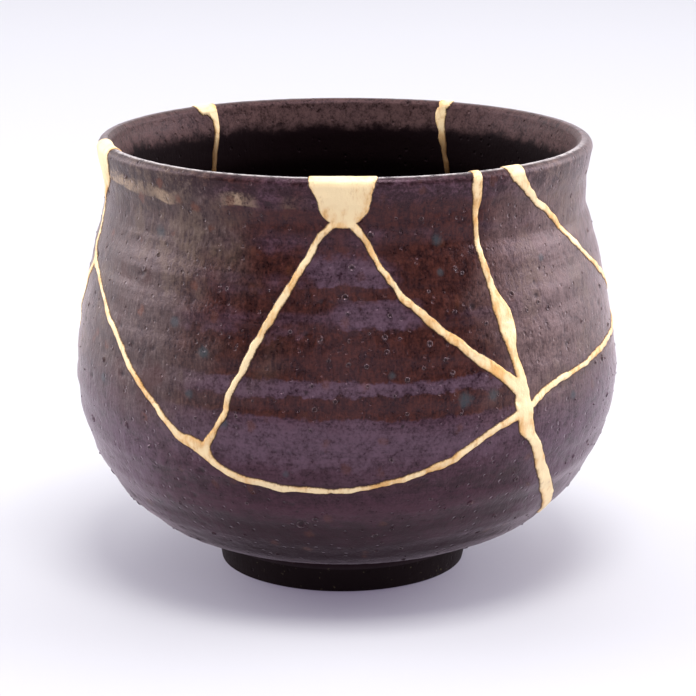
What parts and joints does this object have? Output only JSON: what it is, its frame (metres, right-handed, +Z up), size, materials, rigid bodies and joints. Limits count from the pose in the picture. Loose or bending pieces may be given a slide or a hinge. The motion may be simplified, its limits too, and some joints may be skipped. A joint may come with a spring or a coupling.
{
  "type": "kintsugi bowl",
  "caption": "Hand-thrown stoneware tea bowl on a low turned foot ring, broken and mended along its cracks and rim chips with gold lacquer, for holding tea",
  "frame": {"origin": "on the ground plane, under the middle of the belly", "axes": "+Z up along the bowl's height; -Y is the front, with the gold rim chip; +X is to the right seen from the front"},
  "size_m": [0.122, 0.1222, 0.0983],
  "materials": {
    "stoneware": "dark purple-brown satin gloss glaze with tan drips under the rim",
    "gold_lacquer": "brushed gold powder on lacquer"
  },
  "bodies": {
    "root": {"base_shard": "stoneware", "front_belly_shard": "stoneware", "front_left_rim_shard": "stoneware", "front_right_rim_shard": "stoneware", "right_rim_shard": "stoneware", "back_right_rim_shard": "stoneware", "back_rim_shard": "stoneware", "back_left_rim_shard": "stoneware", "lower_right_shard": "stoneware", "front_rim_fill": "gold_lacquer", "left_rim_fill": "gold_lacquer", "gold_seams": "gold_lacquer"}
  },
  "joints": []
}
